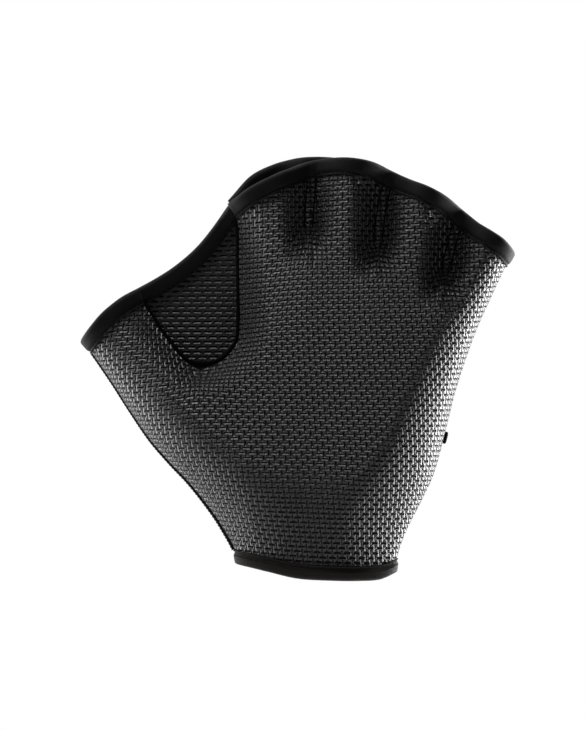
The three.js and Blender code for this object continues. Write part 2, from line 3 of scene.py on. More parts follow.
import bpy
import mathutils
import numpy as np
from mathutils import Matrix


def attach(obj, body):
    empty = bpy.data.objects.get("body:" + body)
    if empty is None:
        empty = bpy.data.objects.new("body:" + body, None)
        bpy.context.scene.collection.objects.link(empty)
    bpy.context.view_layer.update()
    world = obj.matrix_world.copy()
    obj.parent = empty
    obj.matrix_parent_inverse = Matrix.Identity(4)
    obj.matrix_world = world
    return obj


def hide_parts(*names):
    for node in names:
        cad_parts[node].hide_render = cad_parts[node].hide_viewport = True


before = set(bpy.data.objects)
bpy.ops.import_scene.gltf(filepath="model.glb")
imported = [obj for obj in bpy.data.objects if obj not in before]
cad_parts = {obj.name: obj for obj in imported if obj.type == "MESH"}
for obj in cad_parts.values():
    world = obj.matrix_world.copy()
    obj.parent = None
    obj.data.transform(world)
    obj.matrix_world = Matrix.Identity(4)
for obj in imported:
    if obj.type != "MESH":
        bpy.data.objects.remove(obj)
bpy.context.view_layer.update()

# The palm panel
# One sheet of 2.5 mm foam neoprene with a pressed-in plain-weave pattern, lined with nylon
# jersey. It is cut with a U-shaped notch for the web, stretched over the hand, sewn to the
# back panel at both sides and drawn to it by a seam between each two fingers.
GLOVE_HEIGHT = 192
GLOVE_SPAN = 193.5
WRIST_WIDTH = 70
HEM_LEVEL = 5
WRIST_SHARE = WRIST_WIDTH / GLOVE_SPAN
WALL = 2.5
TAPE = 1.0
TAPE_WIDTH = 6
TAPE_CROWN = 0.5
CLEARANCE = 0.3
EDGE_BUILD = CLEARANCE + TAPE + TAPE_CROWN
FINGER_LEAN = 4
BACK_RISE = 6
PALM_HOLLOW = 1.2
CROTCH_ROW = 0.5
SEAM_ROW = 0.75
SEAM_START = 0.66
SEAM_FULL = 0.8
VALLEY_FLOOR = 1.8
SEAM_PIN = WALL + CLEARANCE + TAPE + 0.15
NOTCH_PIN = 4.05

# Each line is a table of row, share of the span across and share of the height up.
THUMB_SEAM = [
    (0, -0.5 * WRIST_SHARE, 0.043), (0.04, -0.189, 0.077), (0.09, -0.209, 0.115),
    (0.157, -0.24, 0.164), (0.256, -0.293, 0.232), (0.34, -0.342, 0.284), (0.41, -0.385, 0.334),
    (0.5, -0.427, 0.395), (0.69, -0.474, 0.469), (0.91, -0.525, 0.544), (1, -0.546, 0.572),
]
THUMB_BASE = [
    (0, -0.34 * WRIST_SHARE, 0.031), (0.2, -0.153, 0.171), (0.35, -0.208, 0.335), (0.5, -0.267, 0.514),
]
NOTCH_THUMB_SIDE = [
    (0.5, -0.267, 0.514), (0.545, -0.285, 0.5166), (0.59, -0.302, 0.5255), (0.65, -0.325, 0.549),
    (0.71, -0.341, 0.57), (0.77, -0.36, 0.594), (0.85, -0.379, 0.625), (0.92, -0.3965, 0.652),
    (1, -0.412, 0.691),
]
NOTCH_INDEX_SIDE = [
    (0.5, -0.267, 0.514), (0.53, -0.244, 0.516), (0.555, -0.225, 0.523), (0.585, -0.206, 0.537),
    (0.61, -0.192, 0.555), (0.635, -0.184, 0.572), (0.66, -0.181, 0.594), (0.7, -0.18, 0.632),
    (0.84, -0.181, 0.751), (0.94, -0.184, 0.846), (1, -0.205, 0.887),
]
INDEX_MIDDLE_SEAM = [
    (0, -0.125 * WRIST_SHARE, 0.014), (0.25, -0.033, 0.276), (0.5, -0.026, 0.581),
    (0.75, -0.02, 0.801), (1, -0.007, 0.988),
]
MIDDLE_RING_SEAM = [
    (0, 0.09 * WRIST_SHARE, 0.009), (0.25, 0.079, 0.265), (0.5, 0.121, 0.564),
    (0.75, 0.14, 0.766), (0.9, 0.156, 0.9), (1, 0.181, 0.961),
]
RING_LITTLE_SEAM = [
    (0, 0.29 * WRIST_SHARE, 0.009), (0.25, 0.177, 0.241), (0.5, 0.244, 0.513),
    (0.75, 0.294, 0.707), (0.9, 0.321, 0.822), (1, 0.342, 0.871),
]
OUTER_SEAM = [
    (0, 0.5 * WRIST_SHARE, 0.0225), (0.035, 0.189, 0.063), (0.1, 0.2095, 0.121),
    (0.18, 0.243, 0.188), (0.27, 0.275, 0.259), (0.39, 0.304, 0.367), (0.5, 0.327, 0.457),
    (0.65, 0.369, 0.582), (0.75, 0.402, 0.658), (0.86, 0.431, 0.721), (1, 0.459, 0.778),
]

# The bound edges: place across the patches, share across, share up, rise of the back.
THUMB_EDGE = [
    (0, -0.546, 0.572, 0), (0.2, -0.524, 0.6, 0), (0.5, -0.492, 0.636, 0),
    (0.75, -0.453, 0.667, 0), (1, -0.412, 0.691, 0),
]
WEB_EDGE = [
    (0, -0.412, 0.691, 0), (0.2, -0.367, 0.716, 0), (0.4, -0.325, 0.744, 0),
    (0.6, -0.282, 0.782, 0), (0.8, -0.247, 0.825, 0), (1, -0.205, 0.887, 0),
]
FINGER_EDGE = [
    (1, -0.205, 0.887, 0.3), (1.25, -0.156, 0.923, 0.98), (1.5, -0.102, 0.951, 1),
    (1.75, -0.049, 0.972, 0.73), (2, -0.007, 0.988, 0.33), (2.25, 0.04, 0.9935, 0.15),
    (2.5, 0.086, 0.992, 0.05), (2.75, 0.135, 0.982, 0), (3, 0.181, 0.961, 0), (3.25, 0.219, 0.943, 0),
    (3.5, 0.26, 0.926, 0), (3.75, 0.304, 0.902, 0), (4, 0.342, 0.871, 0), (4.25, 0.372, 0.845, 0),
    (4.5, 0.406, 0.823, 0), (4.75, 0.435, 0.803, 0), (5, 0.459, 0.778, 0),
]

# Row, depth of the palm and depth of the back, in front of and behind the side seams.
FULLNESS = [(0, 14, 22), (0.25, 22, 19), (0.5, 21, 16), (0.75, 15.9, 13.3), (1, 12.5, 11.5)]

# How round the palm turns into the thumb's seam and the outer one: row and two powers. Low
# on the hand its outer flank is nearly plane. The back turns round everywhere.
FLANK = [(0, 1.9, 1.8), (0.12, 1.7, 1.45), (0.3, 1.75, 1.55), (0.6, 2, 2), (1, 2, 2)]

# The hem's height at places across the patches: a smooth curve, lowest right of the middle.
HEM = [(0, 0.043), (1, 0.031), (2, 0.014), (3, 0.009), (4, 0.0078), (4.6, 0.0105), (5, 0.0225)]

# Left line, right line, bound edge and first place of each part between two lines.
PATCHES = [
    ((THUMB_SEAM,), (THUMB_BASE, NOTCH_THUMB_SIDE), THUMB_EDGE, 0),
    ((THUMB_BASE, NOTCH_INDEX_SIDE), (INDEX_MIDDLE_SEAM,), FINGER_EDGE, 1),
    ((INDEX_MIDDLE_SEAM,), (MIDDLE_RING_SEAM,), FINGER_EDGE, 2),
    ((MIDDLE_RING_SEAM,), (RING_LITTLE_SEAM,), FINGER_EDGE, 3),
    ((RING_LITTLE_SEAM,), (OUTER_SEAM,), FINGER_EDGE, 4),
]


def along_table(table, at, column):
    """A column of a table at the given keys, on a smooth curve through its rows."""
    keys = np.array([row[0] for row in table], float)
    values = np.array([row[column] for row in table], float)
    at = np.asarray(at, float)
    slopes = np.gradient(values, keys)
    slopes[1:-1] = (values[2:] - values[:-2]) / (keys[2:] - keys[:-2])
    i = np.clip(np.searchsorted(keys, at, side="left") - 1, 0, len(keys) - 2)
    step = keys[i + 1] - keys[i]
    t = np.clip((at - keys[i]) / step, 0, 1)
    ease = t * t * (3 - 2 * t)
    value = values[i] + (values[i + 1] - values[i]) * ease
    return value + step * (slopes[i] * t * (1 - t) ** 2 - slopes[i + 1] * t * t * (1 - t))


def ease_between(value, low, high):
    t = np.clip((value - low) / (high - low), 0, 1)
    return t * t * (3 - 2 * t)


def line_point(line, row):
    """Where a line crosses a row, in mm across and up. A line is one table or two."""
    row = np.asarray(row, float)
    x = along_table(line[0], row, 1)
    z = along_table(line[0], row, 2)
    if len(line) > 1:
        upper = row > line[0][-1][0]
        x = np.where(upper, along_table(line[1], row, 1), x)
        z = np.where(upper, along_table(line[1], row, 2), z)
    return x * GLOVE_SPAN, z * GLOVE_HEIGHT


def edge_point(edge, place, side):
    """The bound edge at a place, in mm; the back's edge stands above the palm's."""
    x = along_table(edge, place, 1) * GLOVE_SPAN
    z = along_table(edge, place, 2) * GLOVE_HEIGHT
    if side > 0:
        z = z + along_table(edge, place, 3) * BACK_RISE
    return x, z


def plan_point(patch, place, row, side):
    """A point of a panel as seen from the front, in mm."""
    left, right, edge, first = patch
    left_x, left_z = line_point(left, row)
    right_x, right_z = line_point(right, row)
    top_left_x, top_left_z = line_point(left, 1)
    top_right_x, top_right_z = line_point(right, 1)
    edge_x, edge_z = edge_point(edge, first + place, side)
    follow = ease_between(row, CROTCH_ROW, 1)
    x = left_x + (right_x - left_x) * place
    z = left_z + (right_z - left_z) * place
    x = x + (edge_x - top_left_x - (top_right_x - top_left_x) * place) * follow
    z = z + (edge_z - top_left_z - (top_right_z - top_left_z) * place) * follow
    left_hem = line_point(left, 0)[1]
    right_hem = line_point(right, 0)[1]
    hem = along_table(HEM, first + place, 1) * GLOVE_HEIGHT
    z = z + (hem - left_hem - (right_hem - left_hem) * place) * (1 - ease_between(row, 0, 0.15))
    return x, z


def traced_line(line, start, end, reach_start, reach_end, full=0):
    """Points along a line that the panels are drawn to, with its reach and its hold."""
    row = np.linspace(start, end, 91)
    x, z = line_point(line, row)
    hold = ease_between(row, start, full) if full else np.ones_like(row)
    reach = reach_start + (reach_end - reach_start) * (row - start) / (end - start)
    return x, z, reach, hold


THUMB_SIDE_LINE = traced_line((THUMB_SEAM,), 0, 1, WRIST_WIDTH / 2, 16)
OUTER_SIDE_LINE = traced_line((OUTER_SEAM,), 0, 1, WRIST_WIDTH / 2, 11)
NOTCH_LINES = [
    traced_line((NOTCH_THUMB_SIDE,), 0.5, 1, 15, 15),
    traced_line((NOTCH_INDEX_SIDE,), 0.5, 1, 15, 15),
]
FINGER_LINES = [
    traced_line((seam,), SEAM_START, 1, 9, 16, SEAM_FULL)
    for seam in (INDEX_MIDDLE_SEAM, MIDDLE_RING_SEAM, RING_LITTLE_SEAM)
]


def nearest_on(line, x, z, floor=0.02):
    """Distance to a traced line as a share of its reach, and its hold at that place."""
    line_x, line_z, reach, hold = line
    near = np.ones_like(x)
    held = np.zeros_like(x)
    for i in range(len(line_x) - 1):
        along_x = line_x[i + 1] - line_x[i]
        along_z = line_z[i + 1] - line_z[i]
        t = ((x - line_x[i]) * along_x + (z - line_z[i]) * along_z) / (along_x**2 + along_z**2)
        t = np.clip(t, 0, 1)
        distance = np.hypot(x - line_x[i] - along_x * t, z - line_z[i] - along_z * t)
        here = np.maximum(distance - floor, 0) / (reach[i] + (reach[i + 1] - reach[i]) * t)
        closer = here < near
        near = np.where(closer, here, near)
        held = np.where(closer, hold[i] + (hold[i + 1] - hold[i]) * t, held)
    return near, held


PUCKER_HEIGHT = 0.35
PUCKER_REACH = 9
PUCKERS_IN_A_TURN = 7


def puckers(x, z):
    """Small folds, in mm, that fan out below the lower end of each finger seam."""
    total = np.zeros_like(x)
    for seam in (INDEX_MIDDLE_SEAM, MIDDLE_RING_SEAM, RING_LITTLE_SEAM):
        foot_x, foot_z = line_point((seam,), SEAM_ROW)
        away_x = x - foot_x
        away_z = z - foot_z
        away = np.hypot(away_x, away_z)
        turn = np.arctan2(away_x, -away_z)
        fade = np.exp(-((away / PUCKER_REACH) ** 2)) * (1 - np.exp(-((away / 2.5) ** 2)))
        total += PUCKER_HEIGHT * np.cos(PUCKERS_IN_A_TURN * turn) * fade * ease_between(-away_z, -4, 3)
    return total


def depth_at(x, z, row, side):
    """How far a panel's outer face stands from the plane of the side seams, in mm."""
    depth = along_table(FULLNESS, row, 1 if side < 0 else 2)
    if side < 0:
        hollow_x = (x / GLOVE_SPAN - 0.02) / 0.13
        hollow_z = (z / GLOVE_HEIGHT - 0.42) / 0.2
        depth = depth - PALM_HOLLOW * np.exp(-(hollow_x**2) - hollow_z**2)
    for line in NOTCH_LINES:
        near, held = nearest_on(line, x, z)
        depth = NOTCH_PIN + (depth - NOTCH_PIN) * np.sin(np.pi / 2 * near) ** 0.9
    for line in FINGER_LINES:
        near, held = nearest_on(line, x, z, VALLEY_FLOOR)
        valley = SEAM_PIN + (depth - SEAM_PIN) * np.sin(np.pi / 2 * near) ** (2 - 0.7 * held)
        depth = depth + (valley - depth) * held
    depth = depth - puckers(x, z)
    for line, column in ((THUMB_SIDE_LINE, 1), (OUTER_SIDE_LINE, 2)):
        near, held = nearest_on(line, x, z)
        power = along_table(FLANK, row, column) if side < 0 else 2
        depth = depth * (1 - (1 - near) ** power) ** (1 / power)
    return depth


def to_metres(points):
    """Leans the fingers towards the palm and puts the points in the row frame."""
    points = np.array(points, float)
    above = np.clip((points[:, 2] / GLOVE_HEIGHT - 0.4) / 0.6, 0, 1)
    points[:, 1] -= FINGER_LEAN * above**2
    points[:, 2] -= HEM_LEVEL
    return points / 1000


def row_inside(patch, place, end_row, side, distance):
    """The row that lies a distance in mm inside the hem, row 0, or the edge, row 1."""
    edge_x, edge_z = plan_point(patch, place, np.full_like(place, end_row), side)
    near = np.full_like(place, float(end_row))
    far = np.full_like(place, 0.5)
    for _ in range(30):
        middle = (near + far) / 2
        x, z = plan_point(patch, place, middle, side)
        inside = np.hypot(x - edge_x, z - edge_z) < distance
        near = np.where(inside, middle, near)
        far = np.where(inside, far, middle)
    return (near + far) / 2


STRIPS = 28
HEM_STEPS = 6
LOWER_STEPS = 72
UPPER_STEPS = 80
TOP_STEPS = 6


def side_seam_normal(table, row, outward):
    low_x, low_z = line_point((table,), np.maximum(row - 0.01, 0))
    high_x, high_z = line_point((table,), np.minimum(row + 0.01, 1))
    length = np.hypot(high_x - low_x, high_z - low_z)
    zero = np.zeros_like(length)
    return np.stack([(high_z - low_z) / length * outward, zero, -(high_x - low_x) / length * outward], -1)


def panel_grid(side):
    """A panel as columns of points from hem to edge, with the notch as a cut between two."""
    xs, ys, zs, rows = [], [], [], []
    for number, patch in enumerate(PATCHES):
        t = np.arange(0 if number < 2 else 1, STRIPS + 1) / STRIPS
        place = 0.35 * t + 0.65 * (0.5 - 0.5 * np.cos(np.pi * t))
        hem = row_inside(patch, place, 0, side, EDGE_BUILD)
        hem_tape = row_inside(patch, place, 0, side, EDGE_BUILD + TAPE_WIDTH)
        top_tape = row_inside(patch, place, 1, side, EDGE_BUILD + TAPE_WIDTH)
        top = row_inside(patch, place, 1, side, EDGE_BUILD)
        stops = [
            np.linspace(hem, hem_tape, HEM_STEPS + 1)[:-1],
            np.linspace(hem_tape, np.full_like(hem, CROTCH_ROW), LOWER_STEPS + 1)[:-1],
            np.linspace(np.full_like(top, CROTCH_ROW), top_tape, UPPER_STEPS + 1)[:-1],
            np.linspace(top_tape, top, TOP_STEPS + 1),
        ]
        row = np.concatenate(stops).T
        across = np.repeat(place[:, None], row.shape[1], 1)
        x, z = plan_point(patch, across.ravel(), row.ravel(), side)
        y = side * depth_at(x, z, row.ravel(), side)
        xs.append(x.reshape(row.shape))
        ys.append(y.reshape(row.shape))
        zs.append(z.reshape(row.shape))
        rows.append(row)
    points = np.stack([np.concatenate(xs), np.concatenate(ys), np.concatenate(zs)], -1)
    rows = np.concatenate(rows)
    cut = STRIPS
    crotch = HEM_STEPS + LOWER_STEPS
    columns, levels = rows.shape
    number = np.arange(columns * levels).reshape(columns, levels)
    number[cut + 1, : crotch + 1] = number[cut, : crotch + 1]
    a, b = number[:-1, :-1], number[1:, :-1]
    c, d = number[1:, 1:], number[:-1, 1:]
    quads = np.stack([a, b, c, d], -1)
    quads = np.delete(quads, cut, 0).reshape(-1, 4)
    if side > 0:
        quads = quads[:, ::-1]
    flat = points.reshape(-1, 3)
    normals = vertex_normals(flat, quads).reshape(columns, levels, 3)
    normals[cut + 1, : crotch + 1] = normals[cut, : crotch + 1]

    # The cut edge of the notch faces along the panel's plane.
    near = np.minimum(*(nearest_on(line, points[..., 0], points[..., 2])[0] for line in NOTCH_LINES))
    own = ease_between(near, 0.02, 0.3)[..., None]
    normals = normals * own + np.array([0, side, 0]) * (1 - own)
    normals /= np.linalg.norm(normals, axis=2, keepdims=True)
    normals[0] = side_seam_normal(THUMB_SEAM, rows[0], -1)
    normals[-1] = side_seam_normal(OUTER_SEAM, rows[-1], 1)
    return {
        "points": points, "normals": normals, "rows": rows, "quads": quads, "cut": cut, "columns": columns,
        "levels": levels}


def vertex_normals(points, quads):
    corner = points[quads]
    face = np.cross(corner[:, 2] - corner[:, 0], corner[:, 3] - corner[:, 1])
    normals = np.zeros_like(points)
    for k in range(4):
        np.add.at(normals, quads[:, k], face)
    return normals / np.maximum(np.linalg.norm(normals, axis=1, keepdims=True), 1e-9)


# The pattern's pitch across and up, and how far round a last stitch the cloth is gathered.
STRAND = np.array([2.38, 2.28])
GATHER_REACH = 5.5


def strand_directions(points, normals):
    """The slopes of the strand counts over a face: across the columns and up the rows."""
    level = np.cross([0, 0, 1], normals)
    level /= np.maximum(np.linalg.norm(level, axis=1, keepdims=True), 1e-9)
    rising = np.cross(normals, level)
    x, z = points[:, 0], points[:, 2]
    turn = (
        6 * ease_between(x, -60, -15) * (1 - 0.7 * ease_between(z, 105, 135)) + 4 * ease_between(x, 30, 50)
        - 11 * ease_between(-x, 55, 80))
    turn = np.radians(turn)[:, None]
    tilt = np.radians(4 * ease_between(z, 90, 120) - 2 * ease_between(x, -50, -20))[:, None]
    return level * np.cos(turn) + rising * np.sin(turn), rising * np.cos(tilt) - level * np.sin(tilt)


def lay_strands(grid):
    """Counts the strands of the weave pattern over a panel, which was stretched so that
    its rows lie nearly level all over the glove. Solved by conjugate gradients."""
    points = grid["points"].reshape(-1, 3)
    normals = grid["normals"].reshape(-1, 3)
    a, b, c, d = grid["quads"].T
    start = np.concatenate([a, b, c, d])
    end = np.concatenate([b, c, d, a])
    step = points[end] - points[start]
    length = np.linalg.norm(step, axis=1)
    area = np.linalg.norm(np.cross(points[c] - points[a], points[d] - points[b]), axis=1) / 2
    keep = length > 1e-4
    start, end, step = start[keep], end[keep], step[keep]
    weight = np.tile(area, 4)[keep] / length[keep] ** 2
    middle = (points[start] + points[end]) / 2
    facing = normals[start] + normals[end]
    facing /= np.maximum(np.linalg.norm(facing, axis=1, keepdims=True), 1e-9)
    counts = []

    def gather(pull):
        """What the edges' pulls come to at each point."""
        return np.bincount(end, pull, len(points)) - np.bincount(start, pull, len(points))

    diagonal = np.bincount(start, weight, len(points)) + np.bincount(end, weight, len(points))
    used = diagonal > 0
    diagonal[~used] = 1
    for slope, first in zip(strand_directions(middle, facing), (points[:, 0], points[:, 2])):
        wanted = np.einsum("ij,ij->i", step, slope)
        target = gather(weight * wanted)
        value = first.copy()
        left = target - gather(weight * (value[end] - value[start]))
        aim = left / diagonal
        push = aim.copy()
        size = left @ aim
        goal = 1e-9 * (target @ (target / diagonal))
        for _ in range(900):
            drag = gather(weight * (push[end] - push[start]))
            share = size / (push @ drag)
            value += share * push
            left -= share * drag
            aim = left / diagonal
            grown = left @ aim
            if grown < goal:
                break
            push = aim + grown / size * push
            size = grown
        counts.append(value - value[used].mean())
    counts = np.stack(counts, -1)

    # At the lower end of each finger seam the cloth is gathered into the last stitch.
    for seam in (INDEX_MIDDLE_SEAM, MIDDLE_RING_SEAM, RING_LITTLE_SEAM):
        foot_x, foot_z = line_point((seam,), SEAM_ROW)
        across = points[:, 0] - foot_x
        near = np.exp(-((np.hypot(across, points[:, 2] - foot_z) / GATHER_REACH) ** 2))
        counts[:, 0] += 0.8 * across * near
        counts[:, 1] -= 2.2 * near
    return counts / STRAND


def close_sheet(outer, inner, quads):
    """The faces of a sheet with two sides and a wall round its free edges."""
    lift = len(outer)
    edges = np.concatenate([quads[:, [0, 1]], quads[:, [1, 2]], quads[:, [2, 3]], quads[:, [3, 0]]])
    edges = edges[edges[:, 0] != edges[:, 1]]
    size = 2 * lift
    free = ~np.isin(edges[:, 0] * size + edges[:, 1], edges[:, 1] * size + edges[:, 0])
    a, b = edges[free].T
    walls = np.stack([b, a, a + lift, b + lift], -1)
    return np.concatenate([outer, inner]), [quads, quads[:, ::-1] + lift, walls]


def make_piece(name, points, face_groups, materials, node, strands=None):
    """A named piece from points in mm and one group of faces for each material."""
    faces = []
    for group in face_groups:
        faces += [list(dict.fromkeys(face)) for face in group.tolist()]
    used, corners = np.unique(np.concatenate([np.array(face) for face in faces]), return_inverse=True)
    place = np.zeros(len(points), int)
    place[used] = np.arange(len(used))
    faces = [[int(place[i]) for i in face] for face in faces]
    mesh = bpy.data.meshes.new(name)
    mesh.from_pydata(to_metres(points[used]).tolist(), [], faces)
    mesh.polygons.foreach_set("use_smooth", [True] * len(faces))
    for material in materials:
        mesh.materials.append(material)
    index = np.repeat(np.arange(len(face_groups)), [len(group) for group in face_groups])
    mesh.polygons.foreach_set("material_index", np.minimum(index, len(materials) - 1).astype(np.int32))
    if strands is not None:
        layer = mesh.uv_layers.new(name="strands")
        layer.data.foreach_set("uv", strands[used[corners]].astype(np.float32).ravel())
    mesh.validate()
    piece = bpy.data.objects.new(name, mesh)
    bpy.context.scene.collection.objects.link(piece)
    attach(piece, "root")
    if node:
        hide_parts(node)
    return piece


def linear(code):
    """The linear colour of an sRGB hex value."""
    parts = [int(code[i : i + 2], 16) / 255 for i in (1, 3, 5)]
    return tuple(c / 12.92 if c <= 0.04045 else ((c + 0.055) / 1.055) ** 2.4 for c in parts) + (1.0,)


def add_node(tree, kind, sockets=(), **settings):
    """Adds a node; a socket's value is a number, a colour or another node's output."""
    node = tree.nodes.new("ShaderNode" + kind)
    for name, value in settings.items():
        setattr(node, name, value)
    for key, value in dict(sockets).items():
        if isinstance(value, bpy.types.NodeSocket):
            tree.links.new(value, node.inputs[key])
        else:
            node.inputs[key].default_value = value
    return node


def start_material(name):
    material = bpy.data.materials.new(name)
    material.use_nodes = True
    material.node_tree.nodes.clear()
    return material, material.node_tree


def finish_material(tree, sockets):
    shader = add_node(tree, "BsdfPrincipled", sockets)
    add_node(tree, "OutputMaterial", {"Surface": shader.outputs["BSDF"]})


# Foam neoprene, pressed against a woven mesh while hot: a satin black skin with a short
# rounded groove for each strand's float. The grooves' upper halves are painted shade:
# coloured near-black and nearly without gloss, standing in for the shadow a groove's upper wall casts.
def embossed_skin(name, colour, shine, upright):
    material, tree = start_material(name)
    strands = add_node(tree, "UVMap", uv_map="strands")
    place = add_node(tree, "SeparateXYZ", {0: strands.outputs[0]})

    def float_marks(along, across, start, middle, length, width):
        """One mark for each float of a weave: 1 along its middle, 0 outside it, in strands."""
        strand = add_node(tree, "Math", {0: place.outputs[across], 1: 0.5 - middle}, operation="ADD")
        number = add_node(tree, "Math", {0: strand.outputs[0]}, operation="FLOOR")
        shift = add_node(
            tree, "Math", {0: place.outputs[along], 1: number.outputs[0]}, operation="SUBTRACT")
        reach = add_node(tree, "Math", {0: shift.outputs[0], 1: start}, operation="SUBTRACT")
        from_middle = add_node(tree, "Math", {0: reach.outputs[0], 1: 1.0}, operation="PINGPONG")
        long = add_node(
            tree, "MapRange",
            {"Value": from_middle.outputs[0], "From Min": length[1], "From Max": length[0]},
            interpolation_type="SMOOTHSTEP")
        within = add_node(tree, "Math", {0: strand.outputs[0]}, operation="FRACT")
        off = add_node(tree, "Math", {0: within.outputs[0], 1: 0.5}, operation="SUBTRACT")
        off = add_node(tree, "Math", {0: off.outputs[0]}, operation="ABSOLUTE")
        wide = add_node(
            tree, "MapRange", {"Value": off.outputs[0], "From Min": width[1], "From Max": width[0]},
            interpolation_type="SMOOTHSTEP")
        return add_node(tree, "Math", {0: long.outputs[0], 1: wide.outputs[0]}, operation="MULTIPLY")

    level_groove = float_marks("X", "Y", 0.5, 0.5, (0.5, 0.86), (0.0, 0.36))
    upright_groove = float_marks("Y", "X", 1.5, 0.5, (0.5, 0.86), (0.0, 0.34))
    # Painted shade marks, set a little above and to the left of the grooves, where a groove's upper wall
    # would shade it.
    level_painted_shade = float_marks("X", "Y", 0.5, 0.57, (0.55, 0.8), (0.07, 0.29))
    upright_painted_shade = float_marks("Y", "X", 1.7, 0.48, (0.2, 0.75), (0.02, 0.2))

    def both_ways(level_marks, upright_marks):
        """The stronger of two marks, the upright ones weighed."""
        weighed = add_node(tree, "Math", {0: upright_marks.outputs[0], 1: upright}, operation="MULTIPLY")
        return add_node(
            tree, "Math", {0: level_marks.outputs[0], 1: weighed.outputs[0]}, operation="MAXIMUM")

    groove = both_ways(level_groove, upright_groove)
    painted_shade = both_ways(level_painted_shade, upright_painted_shade)
    grain = add_node(tree, "TexNoise", {"Vector": strands.outputs[0], "Scale": 7.0, "Detail": 3.0})
    relief = add_node(
        tree, "Math", {0: grain.outputs[0], 1: 0.12, 2: groove.outputs[0]}, operation="MULTIPLY_ADD")
    bump = add_node(
        tree, "Bump", {"Height": relief.outputs[0], "Distance": 0.0008, "Strength": 1.0}, invert=True)
    # Painted shade: the skin colour goes to near-black #040404 under the shade marks, and its gloss falls
    # to 0.05.
    skin = add_node(
        tree, "Mix", {0: painted_shade.outputs[0], 6: linear(colour), 7: linear("#040404")},
        data_type="RGBA")
    gloss = add_node(
        tree, "MapRange", {"Value": painted_shade.outputs[0], "To Min": shine, "To Max": 0.05})
    finish_material(tree, {
        "Base Color": skin.outputs[2], "Roughness": 0.42, "IOR": 1.52,
        "Specular IOR Level": gloss.outputs[0], "Normal": bump.outputs[0],
    })
    return material


embossed_neoprene = embossed_skin("embossed_neoprene_skin", "#242324", 0.6, 1.0)

# The foam's cut edge: a dull black sponge of fine closed cells.
cut_foam, tree = start_material("cut_neoprene_foam")
cells = add_node(tree, "TexVoronoi", {"Scale": 4000.0})
bump = add_node(tree, "Bump", {"Height": cells.outputs[0], "Distance": 0.0001, "Strength": 0.5})
finish_material(tree, {
    "Base Color": linear("#060606"), "Roughness": 0.95, "Specular IOR Level": 0.1,
    "Normal": bump.outputs[0],
})

# Nylon jersey glued to the foam's inner side: a dull knit with fine upright ribs.
nylon_jersey, tree = start_material("nylon_jersey_lining")
strands = add_node(tree, "UVMap", uv_map="strands")
ribs = add_node(
    tree, "TexWave", {"Vector": strands.outputs[0], "Scale": 0.95, "Distortion": 0.6},
    bands_direction="X")
bump = add_node(tree, "Bump", {"Height": ribs.outputs[1], "Distance": 0.0002, "Strength": 0.6})
knit = add_node(
    tree, "Mix", {0: ribs.outputs[1], 6: linear("#0e0e10"), 7: linear("#1d1d20")}, data_type="RGBA")
finish_material(tree, {
    "Base Color": knit.outputs[2], "Roughness": 0.88, "Sheen Weight": 0.3, "Sheen Roughness": 0.5,
    "Normal": bump.outputs[0],
})


def make_panel(grid, name):
    outer = grid["points"].reshape(-1, 3)
    normals = grid["normals"].reshape(-1, 3)
    inner = outer - WALL * normals
    points, groups = close_sheet(outer, inner, grid["quads"])
    laid = lay_strands(grid)
    return make_piece(
        name + "_neoprene", points, groups, [embossed_neoprene, nylon_jersey, cut_foam], name,
        np.concatenate([laid, laid]))


palm = panel_grid(-1)
make_panel(palm, "palm_panel")

# The back panel
# The same patterned neoprene over the back of the hand. Its edge over the index and
# middle fingers stands higher than the palm's.
back = panel_grid(1)
make_panel(back, "back_panel")

# The thumb web
# A flat panel of the same neoprene between thumb and index finger, which gives the hand
# its paddle. Its sides run under both panels with a 4 mm margin and are sewn between them.
WEB_MARGIN = 4
WEB_PATCH = ((NOTCH_THUMB_SIDE,), (NOTCH_INDEX_SIDE,), WEB_EDGE, 0)


def web_side(table, row, outward):
    """A side of the web: the notch line, moved out under the panels by the margin."""
    low_x, low_z = line_point((table,), np.maximum(row - 0.004, 0.5))
    high_x, high_z = line_point((table,), np.minimum(row + 0.004, 1))
    length = np.hypot(high_x - low_x, high_z - low_z)
    x, z = line_point((table,), row)
    spread = outward * (WEB_MARGIN + (1.2 - WEB_MARGIN) * ease_between(row, 0.84, 0.93))
    spread = np.where(row == 0.5, 0, spread)
    drop = np.where(row == 0.5, WEB_MARGIN, 0)
    return x + (high_z - low_z) / length * spread, z - (high_x - low_x) / length * spread - drop


